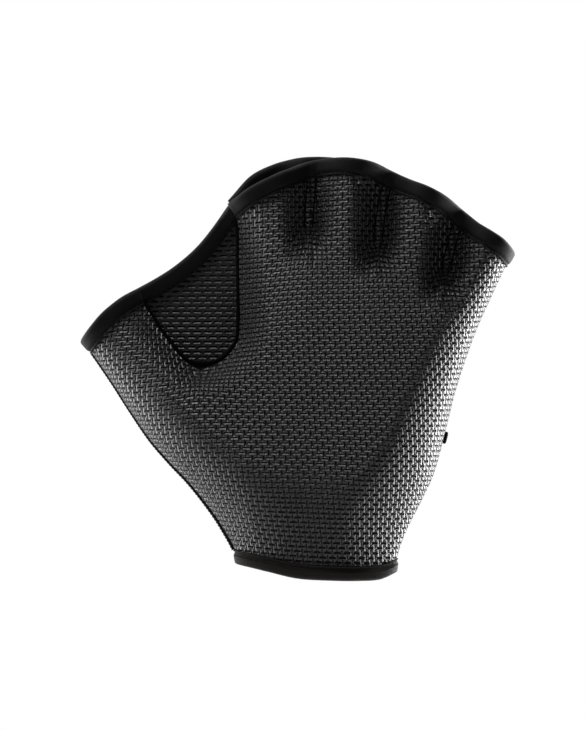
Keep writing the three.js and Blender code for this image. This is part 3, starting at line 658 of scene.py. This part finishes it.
def web_grid():
    place = np.linspace(0, 1, 37)
    top = row_inside(WEB_PATCH, place, 1, -1, EDGE_BUILD)
    top_tape = row_inside(WEB_PATCH, place, 1, -1, EDGE_BUILD + TAPE_WIDTH)
    rows = np.concatenate([
        np.linspace(np.full_like(top, 0.5), top_tape, 61)[:-1], np.linspace(top_tape, top, 9)]).T
    row = rows.ravel()
    across = np.repeat(place[:, None], rows.shape[1], 1).ravel()
    left_x, left_z = web_side(NOTCH_THUMB_SIDE, row, -1)
    right_x, right_z = web_side(NOTCH_INDEX_SIDE, row, 1)
    bulge_x, bulge_z = plan_point(WEB_PATCH, across, row, -1)
    line_left_x, line_left_z = line_point(WEB_PATCH[0], row)
    line_right_x, line_right_z = line_point(WEB_PATCH[1], row)
    x = left_x + (right_x - left_x) * across
    z = left_z + (right_z - left_z) * across
    x += bulge_x - line_left_x - (line_right_x - line_left_x) * across
    z += bulge_z - line_left_z - (line_right_z - line_left_z) * across
    columns, levels = rows.shape
    points = np.stack([x, np.full_like(x, -WALL / 2), z], -1).reshape(columns, levels, 3)
    number = np.arange(columns * levels).reshape(columns, levels)
    number[:, 0] = 0
    a, b, c, d = number[:-1, :-1], number[1:, :-1], number[1:, 1:], number[:-1, 1:]
    quads = np.stack([a, b, c, d], -1).reshape(-1, 4)
    normals = np.zeros_like(points)
    normals[..., 1] = -1
    return {"points": points, "normals": normals, "quads": quads, "columns": columns, "levels": levels}


web = web_grid()
outer = web["points"].reshape(-1, 3)
inner = outer + [0, WALL, 0]
points, groups = close_sheet(outer, inner, web["quads"])
flat = points[:, [0, 2]] / STRAND

# The web's neoprene is the same cloth with closed upright grooves, since nothing stretches it.
# Its darker colour and lower gloss are painted shade for the shadow that falls into the recess between
# thumb and index finger.
web_neoprene = embossed_skin("web_neoprene_skin_painted_shade", "#161616", 0.36, 0.3)
make_piece(
    "thumb_web_neoprene", points, groups, [web_neoprene, web_neoprene, cut_foam], "thumb_web",
    flat)

# The notch seam
# The palm's cut edge is sewn down to the web with black thread. A near-black, matt bar laid
# along the U of the notch is mostly painted shade: a crisp dark line for the shadow where the palm's edge
# turns down to the web.
shade_line_thread, tree = start_material("seam_thread_as_painted_shade")
finish_material(tree, {"Base Color": linear("#030303"), "Roughness": 0.9, "Specular IOR Level": 0.05})


def bar_faces(count, size, closed):
    """Quads round a bar of like sections, and its end caps."""
    spans = count if closed else count - 1
    j = np.arange(spans)[:, None]
    k = np.arange(size)[None]
    here, after = j * size, (j + 1) % count * size
    k2 = (k + 1) % size
    quads = np.stack([here + k, after + k, after + k2, here + k2], -1).reshape(-1, 4)
    caps = [] if closed else [np.arange(size)[None], (count - 1) * size + np.arange(size)[::-1][None]]
    return quads, caps


def signed_volume(points, quads):
    a, b, c, d = (points[quads[:, i]] for i in range(4))
    return (np.einsum("ij,ij->i", a, np.cross(b, c)) + np.einsum("ij,ij->i", a, np.cross(c, d))).sum()


def make_bar(name, sections, closed, material, node):
    """A piece swept through sections, with its length and girth in mm as coordinates."""
    count, size = sections.shape[:2]
    quads, caps = bar_faces(count, size, closed)
    points = sections.reshape(-1, 3)
    if signed_volume(points, quads) < 0:
        quads = quads[:, ::-1]
        caps = [cap[:, ::-1] for cap in caps]
    middle = sections.mean(1)
    lengths = np.concatenate([[0], np.cumsum(np.linalg.norm(np.diff(middle, axis=0), axis=1))])
    girth = np.concatenate([[0], np.cumsum(np.linalg.norm(np.diff(sections.mean(0), axis=0), axis=1))])
    places = np.stack(np.meshgrid(lengths, girth, indexing="ij"), -1).reshape(-1, 2)
    return make_piece(name, points, [quads] + caps, [material], node, places)


def thread_sections(path, radius):
    """Round sections of a thread along a path in the panel's plane, in mm."""
    ahead = np.gradient(path, axis=0)
    ahead /= np.linalg.norm(ahead, axis=1, keepdims=True)
    beside = np.cross(ahead, [0, 1, 0])
    beside /= np.linalg.norm(beside, axis=1, keepdims=True)
    turn = 2 * np.pi * np.arange(8) / 8
    ring = np.cos(turn)[None, :, None] * beside[:, None] + np.sin(turn)[None, :, None] * np.array([0, 1, 0])
    return path[:, None] + radius[:, None, None] * ring


# The bar is thick and is brought forward at the foot, so that its dark line covers the band of shade along
# the palm's edge: painted shade.
NOTCH_SHADE_LINE_RADIUS = 1.0
NOTCH_FOOT_RISE = 1.3
notch_rows = np.linspace(0.5, palm["rows"][palm["cut"], -TOP_STEPS], 120)
thumb_x, thumb_z = line_point((NOTCH_THUMB_SIDE,), notch_rows[::-1])
index_x, index_z = line_point((NOTCH_INDEX_SIDE,), notch_rows[1:])
foot = 1 - ease_between(np.concatenate([notch_rows[::-1], notch_rows[1:]]), 0.5, 0.85)
notch_path = np.stack([
    np.concatenate([thumb_x, index_x]), 0.2 - NOTCH_PIN - NOTCH_FOOT_RISE * foot,
    np.concatenate([thumb_z, index_z])], -1)
notch_sections = thread_sections(notch_path, np.full(len(notch_path), NOTCH_SHADE_LINE_RADIUS))
make_bar("notch_seam_painted_shade", notch_sections, False, shade_line_thread, None)

# The finger seams
# Between the fingers the palm is sewn through to the back with two rows of black thread,
# 4 mm apart, which sink into the cloth and draw a flat-bottomed valley. The threads are near-black and matt
# and lie along the edges of the valley's floor, so they are partly seam and partly painted shade for the
# dark creases there.
FROM_SEAM = 1.95
thread_number = 0
for seam, first_column in ((INDEX_MIDDLE_SEAM, 2), (MIDDLE_RING_SEAM, 3), (RING_LITTLE_SEAM, 4)):
    column = first_column * STRIPS + 1
    seam_rows = np.linspace(SEAM_ROW + 0.01, palm["rows"][column, -TOP_STEPS], 60)
    seam_x, seam_z = line_point((seam,), seam_rows)
    slope_x, slope_z = np.gradient(seam_x), np.gradient(seam_z)
    length = np.hypot(slope_x, slope_z)
    for way in (-FROM_SEAM, FROM_SEAM):
        x = seam_x + way * slope_z / length * ease_between(seam_rows, SEAM_ROW, SEAM_ROW + 0.04)
        z = seam_z - way * slope_x / length * ease_between(seam_rows, SEAM_ROW, SEAM_ROW + 0.04)
        y = -depth_at(x, z, seam_rows, -1)
        radius = 0.12 + 0.26 * ease_between(seam_rows, SEAM_ROW, SEAM_ROW + 0.06)
        thread_number += 1
        make_bar(
            f"finger_seam_thread_and_shade_{thread_number}", thread_sections(np.stack([x, y, z], -1), radius), False,
            shade_line_thread, None)

# The finger binding
# Folded nylon-elastane tape, 14 mm wide before folding, sewn over the edges of both panels
# from the web over the four fingers and back. Its lower fold stands up as a fine ridge
# beside the line of stitches.
TAPE_PROFILE = [
    (6.3, -0.4), (6.25, 0.25), (6.1, 0.62), (5.85, 0.78), (5.6, 0.68), (5.35, 0.32), (5.1, 0.22),
    (4.8, 0.5), (4.4, 0.85), (3.8, 1.08), (3.0, 1.2), (2.0, 1.28), (1.0, 1.34), (0.4, 1.36),
]
RIM_OUT = 1.75
RIM_HEIGHT = 2.62
CARRYING_LEVELS = 16
TURNED_RUN = 12


def tape_profile(foot_shift):
    """The section of the tape: distance inside the panel's edge and height over it."""
    outer = [(s + foot_shift if s > 3.5 else s, h) for s, h in TAPE_PROFILE]
    turns = np.radians(np.linspace(78, -78, 9))
    rim = [(-RIM_OUT * math.cos(t) - 0.1, -WALL / 2 + RIM_HEIGHT * math.sin(t)) for t in turns]
    inner = [(s, -WALL - h) for s, h in reversed(outer)]
    return np.array(outer + rim + inner)


def smooth_along(values, closed):
    """Four rounds of smoothing along a row, which may close on itself."""
    values = values.copy()
    for _ in range(4):
        if closed:
            around = (np.roll(values, 1, 0) + np.roll(values, -1, 0)) / 2
        else:
            around = values.copy()
            around[1:-1] = (values[:-2] + values[2:]) / 2
        values = (values + around) / 2
    return values


def edge_strip(grid, at_hem, columns):
    """For each column: the panel's face from the edge inwards, with its normals."""
    order = np.arange(grid["levels"]) if at_hem else np.arange(grid["levels"])[::-1]
    order = order[:CARRYING_LEVELS]
    points = grid["points"][columns][:, order]
    normals = grid["normals"][columns][:, order]
    return points, normals


def sweep_tape(points, normals, profile, closed):
    """Tape sections in mm along an edge, from strips of the faces that carry it."""
    steps = np.linalg.norm(np.diff(points, axis=1), axis=2)
    along = np.concatenate([np.zeros((len(points), 1)), np.cumsum(steps, 1)], 1)
    normals = smooth_along(normals, closed)
    normals /= np.linalg.norm(normals, axis=2, keepdims=True)
    out = points[:, 0] - points[:, 2]
    out = smooth_along(out / np.linalg.norm(out, axis=1, keepdims=True), closed)
    out /= np.linalg.norm(out, axis=1, keepdims=True)
    sections = np.zeros((len(points), len(profile), 3))
    for i in range(len(points)):
        for k, (s, h) in enumerate(profile):
            at = [np.interp(max(s, 0), along[i], points[i, :, axis]) for axis in range(3)]
            normal = [np.interp(max(s, 0), along[i], normals[i, :, axis]) for axis in range(3)]
            sections[i, k] = np.array(at) + np.array(normal) * h + out[i] * max(-s, 0)
    return sections


def bound_edges(first, second, columns, at_hem):
    """Faces and normals at the edges of two panels: along one, back along the other."""
    joined = []
    for one, other in zip(edge_strip(first, at_hem, columns), edge_strip(second, at_hem, columns[::-1])):
        seam = (one[-1] + other[0]) / 2
        joined.append(np.concatenate([one[:-1], seam[None], other[1:]]))
    return joined


# Knitted nylon and elastane tape: close, flat and nearly black, with a soft sheen where
# it turns away over the rim and a faint grain of fine ribs.
def knitted_tape(name, dark, light):
    material, tree = start_material(name)
    strands = add_node(tree, "UVMap", uv_map="strands")
    ribs = add_node(
        tree, "TexWave",
        {"Vector": strands.outputs[0], "Scale": 0.55, "Distortion": 1.5, "Detail": 2.0},
        bands_direction="X")
    grain = add_node(tree, "TexNoise", {"Vector": strands.outputs[0], "Scale": 2.2, "Detail": 4.0})
    mixed = add_node(
        tree, "Math", {0: ribs.outputs[1], 1: 0.35, 2: grain.outputs[0]}, operation="MULTIPLY_ADD")
    bump = add_node(tree, "Bump", {"Height": mixed.outputs[0], "Distance": 0.00018, "Strength": 0.7})
    yarn = add_node(
        tree, "Mix", {0: grain.outputs[0], 6: linear(dark), 7: linear(light)}, data_type="RGBA")
    finish_material(tree, {
        "Base Color": yarn.outputs[2], "Roughness": 0.66, "IOR": 1.45, "Specular IOR Level": 0.13,
        "Sheen Weight": 0.03, "Sheen Roughness": 0.4, "Normal": bump.outputs[0],
    })
    return material


binding_tape = knitted_tape("nylon_elastane_tape", "#050505", "#0d0c0d")
fingers = np.arange(palm["cut"] + 1, palm["columns"])
finger_points, finger_normals = bound_edges(palm, back, fingers, False)
finger_run = np.concatenate([[0], np.cumsum(np.linalg.norm(np.diff(finger_points[:, 0], axis=0), axis=1))])

# Both ends of the tape turn flat, to run on from the web's tape.
for from_end, way in ((finger_run, -1), (finger_run[-1] - finger_run, 1)):
    turned = (1 - ease_between(from_end, 0, TURNED_RUN))[:, None, None]
    finger_normals = finger_normals + turned * (np.array([0, way, 0]) - finger_normals)
finger_sections = sweep_tape(finger_points, finger_normals, tape_profile(0), False)
make_bar("finger_binding_tape", finger_sections, False, binding_tape, "finger_binding")

# The thumb binding
# The same folded tape round the opening for the thumb, over both panels.
thumb = np.arange(0, palm["cut"] + 1)
thumb_points, thumb_normals = bound_edges(back, palm, thumb[::-1], False)
thumb_sections = sweep_tape(thumb_points, thumb_normals, tape_profile(0), False)
make_bar("thumb_binding_tape", thumb_sections, False, binding_tape, "thumb_binding")

# The web binding
# The same tape over the free edge of the web, between the thumb's and the fingers' tape.
web_points, web_normals = edge_strip(web, False, np.arange(web["columns"]))
web_sections = sweep_tape(web_points, web_normals, tape_profile(0), False)
web_run = np.concatenate([[0], np.cumsum(np.linalg.norm(np.diff(web_points[:, 0], axis=0), axis=1))])
from_end = np.minimum(web_run, web_run[-1] - web_run)

# At both ends the tape thickens towards its neighbours, and is longer by one section.
THICKENED_RUN = 9
web_sections[:, :, 1] *= 1 + (1 - ease_between(from_end, 0, THICKENED_RUN))[:, None]
web_sections = np.concatenate([
    web_sections[:1] * 2 - web_sections[1:2], web_sections, web_sections[-1:] * 2 - web_sections[-2:-1]])
make_bar("web_binding_tape", web_sections, False, binding_tape, "web_binding")

# The wrist binding
# A softer, slightly brownish tape of the same kind, folded over the hem and sewn round the
# wrist as a closed ring.
around = np.concatenate([np.arange(0, palm["cut"] + 1), np.arange(palm["cut"] + 2, palm["columns"])])
hem_points, hem_normals = [
    np.concatenate([(run[:1] + run[-1:]) / 2, run[1:-1]]) for run in bound_edges(palm, back, around, True)]
hem_sections = sweep_tape(hem_points, hem_normals, tape_profile(-0.9), True)
wrist_tape = knitted_tape("brownish_wrist_tape", "#12100f", "#242120")
make_bar("wrist_binding_tape", hem_sections, True, wrist_tape, "wrist_binding")

# The thumb seam
# An overlocked seam joins the panels on the thumb's side. Its bead of black polyester
# thread is thickest at the wrist and fades towards the thumb.
def seam_centre(row, outward_by):
    x, z = line_point((THUMB_SEAM,), row)
    outward = side_seam_normal(THUMB_SEAM, row, -1)
    centre = np.stack([x, np.zeros_like(x), z], -1)
    return centre + outward * outward_by[:, None], outward


BEAD_RADIUS = 0.78
BEAD_FADE = 0.36
BEAD_PITCH = 1.6
rows = np.linspace(palm["rows"][0, HEM_STEPS] - 0.004, palm["rows"][0, -TOP_STEPS - 1] - 0.004, 520)
plain, outward = seam_centre(rows, np.zeros_like(rows))
run = np.concatenate([[0], np.cumsum(np.linalg.norm(np.diff(plain, axis=0), axis=1))])
radius = BEAD_RADIUS - BEAD_FADE * np.clip(rows / 0.5, 0, 1)
rib = 1 + 0.2 * np.cos(2 * np.pi * run / BEAD_PITCH)
centre, outward = seam_centre(rows, radius * 0.75)
turn = 2 * np.pi * np.arange(10) / 10
bead = (
    centre[:, None]
    + (radius * rib)[:, None, None] * (
        np.cos(turn)[None, :, None] * outward[:, None] + np.sin(turn)[None, :, None] * np.array([0, 1, 0]))
)

# Spun polyester thread: matt black with a fine twist.
seam_thread, tree = start_material("polyester_overlock_thread")
strands = add_node(tree, "UVMap", uv_map="strands")
twist = add_node(
    tree, "TexWave", {"Vector": strands.outputs[0], "Scale": 1.2, "Distortion": 0.4},
    bands_direction="DIAGONAL")
bump = add_node(tree, "Bump", {"Height": twist.outputs[1], "Distance": 0.0002, "Strength": 0.8})
fibre = add_node(
    tree, "Mix", {0: twist.outputs[1], 6: linear("#060606"), 7: linear("#121213")}, data_type="RGBA")
finish_material(tree, {
    "Base Color": fibre.outputs[2], "Roughness": 0.8, "Specular IOR Level": 0.2, "Sheen Weight": 0.05,
    "Normal": bump.outputs[0],
})
make_bar("thumb_seam_thread", bead, False, seam_thread, "thumb_seam_bead")

# The side tab
# A short tape, sewn flat on the back beside the outer seam. Its folded end shows as a
# small dark step past the little finger's side, low on the hand.
TAB_HEIGHT = 65.5
TAB_WIDTH = 5.5
TAB_LENGTH = 12
TAB_THICKNESS = 1.6


def seam_row_at(height):
    low, high = 0.0, 1.0
    for _ in range(30):
        middle = (low + high) / 2
        if line_point((OUTER_SEAM,), middle)[1] < height:
            low = middle
        else:
            high = middle
    return low


def back_face(place, row):
    x, z = plan_point(PATCHES[4], np.array([place]), np.array([row]), 1)
    return np.array([x[0], depth_at(x, z, np.array([row]), 1)[0], z[0]])


tab_row = seam_row_at(TAB_HEIGHT)
path = [back_face(1.0, tab_row)]
place = 1.0
while sum(np.linalg.norm(np.diff(path, axis=0), axis=1)) < TAB_LENGTH:
    place -= 0.004
    path.append(back_face(place, tab_row))
path = np.array(path)
run = np.concatenate([[0], np.cumsum(np.linalg.norm(np.diff(path, axis=0), axis=1))])
stations = np.concatenate([
    [0, 0.15, 0.5, 1.0], np.linspace(2, TAB_LENGTH - 1, 12), [TAB_LENGTH - 0.4, TAB_LENGTH]])
path = np.stack([np.interp(stations, run, path[:, axis]) for axis in range(3)], -1)
low_x, low_z = line_point((OUTER_SEAM,), tab_row - 0.01)
high_x, high_z = line_point((OUTER_SEAM,), tab_row + 0.01)
upward = np.array([high_x - low_x, 0, high_z - low_z])
upward /= np.linalg.norm(upward)
along = np.gradient(path, axis=0)
face_out = np.cross(upward, along)
face_out /= np.linalg.norm(face_out, axis=1, keepdims=True)
if face_out[-1, 1] < 0:
    face_out = -face_out
sections = []
for i, station in enumerate(stations):
    end = min(station, TAB_LENGTH - station)
    shrink = math.sqrt(max(1 - (1 - min(end / 0.8, 1)) ** 2, 0.02))
    turn = 2 * np.pi * np.arange(20) / 20
    cosine, sine = np.cos(turn), np.sin(turn)
    wide = np.sign(cosine) * np.abs(cosine) ** 0.45 * (TAB_WIDTH / 2 - 0.8 + 0.8 * shrink)
    tall = np.sign(sine) * np.abs(sine) ** 0.7 * TAB_THICKNESS / 2 * shrink
    middle = path[i] + face_out[i] * (0.1 + TAB_THICKNESS / 2)
    sections.append(middle + wide[:, None] * upward + tall[:, None] * face_out[i])
make_bar("side_tab_tape", np.array(sections), False, binding_tape, "side_tab")

# The stitches
# A row of lockstitches in polyester thread holds each tape down along its lower fold,
# about ten to the inch.
STITCH_PITCH = 2.5
STITCH_HEIGHT = 0.24
STITCH_INSIDE = 5.1
HEM_STITCH_INSIDE = 4.2
THREAD_RADIUS = 0.21


def stitch_row(points, normals, inside, closed):
    """Middles and ends of the stitches along a tape, on its outer face."""
    line = sweep_tape(points, normals, np.array([(inside, STITCH_HEIGHT)]), closed)[:, 0]
    if closed:
        line = np.concatenate([line, line[:1]])
    length = np.concatenate([[0], np.cumsum(np.linalg.norm(np.diff(line, axis=0), axis=1))])
    at = np.arange(STITCH_PITCH, length[-1] - STITCH_PITCH / 2, STITCH_PITCH)
    middle = np.stack([np.interp(at, length, line[:, axis]) for axis in range(3)], -1)
    before = np.stack([np.interp(at - 0.8, length, line[:, axis]) for axis in range(3)], -1)
    after = np.stack([np.interp(at + 0.8, length, line[:, axis]) for axis in range(3)], -1)
    return middle, before, after


def make_stitches(name, rows):
    """One piece with a slightly bowed capsule of thread for each stitch."""
    points, faces = [], []
    size, steps = 8, 7
    for middle, before, after in rows:
        for m, b, a in zip(middle, before, after):
            direction = (a - b) / np.linalg.norm(a - b)
            up = np.cross(direction, [0.3, 0.5, 0.8])
            up /= np.linalg.norm(up)
            side = np.cross(direction, up)
            start = len(points)
            for step in range(steps):
                t = step / (steps - 1)
                thick = THREAD_RADIUS * math.sqrt(max(1 - (2 * t - 1) ** 4, 0.03))
                centre = (1 - t) ** 2 * b + 2 * t * (1 - t) * (2 * m - (a + b) / 2) + t**2 * a
                for k in range(size):
                    turn = 2 * math.pi * k / size
                    points.append(centre + thick * (math.cos(turn) * up + math.sin(turn) * side))
            for step in range(steps - 1):
                for k in range(size):
                    p, q = start + step * size + k, start + step * size + (k + 1) % size
                    faces.append([p, p + size, q + size, q])
    points = np.array(points)
    quads = np.array(faces)
    if signed_volume(points, quads) < 0:
        quads = quads[:, ::-1]
    return make_piece(
        name, points, [quads], [seam_thread], None, points[:, [0, 2]])


make_stitches("binding_stitches", [
    stitch_row(finger_points, finger_normals, STITCH_INSIDE, False),
    stitch_row(thumb_points, thumb_normals, STITCH_INSIDE, False),
    stitch_row(web_points, web_normals, STITCH_INSIDE, False),
    stitch_row(hem_points, hem_normals, HEM_STITCH_INSIDE, True),
])

# The studio
# A pale floor far below, a white sweep behind, a large soft lamp behind each side for the
# bright flanks, three small lamps nearly in the palm's plane that graze it from above, and
# a weak one in front.
floor_mesh = bpy.data.meshes.new("studio_floor")
floor_mesh.from_pydata(
    [(-1.5, -1.5, -0.25), (1.5, -1.5, -0.25), (1.5, 1.5, -0.25), (-1.5, 1.5, -0.25)], [], [(0, 1, 2, 3)])
pale_floor, tree = start_material("pale_matt_floor")
finish_material(tree, {"Base Color": linear("#e6e6e6"), "Roughness": 0.8})
floor_mesh.materials.append(pale_floor)
floor = bpy.data.objects.new("studio_floor", floor_mesh)
bpy.context.scene.collection.objects.link(floor)


def soft_lamp(name, place, target, size, power):
    lamp = bpy.data.lights.new(name, "AREA")
    lamp.shape = "RECTANGLE"
    lamp.size, lamp.size_y = size
    lamp.energy = power
    holder = bpy.data.objects.new(name, lamp)
    holder.location = place
    direction = mathutils.Vector(target) - mathutils.Vector(place)
    holder.rotation_euler = direction.to_track_quat("-Z", "Y").to_euler()
    bpy.context.scene.collection.objects.link(holder)
    return holder


soft_lamp("key_softbox", (-0.42, -0.07, 0.38), (-0.02, 0, 0.1), (0.1, 0.12), 1.0)
soft_lamp("high_softbox", (-0.18, -0.075, 0.55), (-0.02, 0, 0.1), (0.12, 0.08), 1.1)
soft_lamp("top_softbox", (0, -0.065, 0.6), (0, 0, 0.1), (0.3, 0.06), 0.7)
soft_lamp("front_fill", (-0.3, -1.1, 0.6), (0, 0, 0.1), (0.6, 0.6), 1.8)
soft_lamp("right_rim_softbox", (0.68, 0.4, 0.0), (0, 0, 0.08), (0.5, 0.9), 29)
soft_lamp("left_rim_softbox", (-0.68, 0.33, -0.1), (0, 0, 0.08), (0.4, 0.8), 9.5)

world = bpy.data.worlds.new("white_sweep")
world.use_nodes = True
tree = world.node_tree
tree.nodes.clear()
direction = add_node(tree, "TexCoord")
parts = add_node(tree, "SeparateXYZ", {0: direction.outputs["Generated"]})
behind = add_node(
    tree, "MapRange",
    {"Value": parts.outputs["Y"], "From Min": -0.05, "From Max": 0.45, "To Min": 0.005, "To Max": 1.0},
    interpolation_type="SMOOTHSTEP")
seen = add_node(tree, "LightPath")
strength = add_node(
    tree, "Mix", {0: seen.outputs["Is Camera Ray"], 2: behind.outputs[0], 3: 1.0}, data_type="FLOAT")
glow = add_node(tree, "Background", {"Color": linear("#ffffff"), "Strength": strength.outputs[0]})
add_node(tree, "OutputWorld", {"Surface": glow.outputs[0]})
bpy.context.scene.world = world
bpy.context.scene.view_settings.view_transform = "Standard"

camera_data = bpy.data.cameras.new("camera")
camera_data.sensor_width = 36
camera_data.lens = 36 * 1500 / 328.5
camera = bpy.data.objects.new("camera", camera_data)
camera.location = (-0.0106, -1.5, 0.0931)
camera.rotation_euler = (math.radians(90), 0, 0)
bpy.context.scene.collection.objects.link(camera)
bpy.context.scene.camera = camera
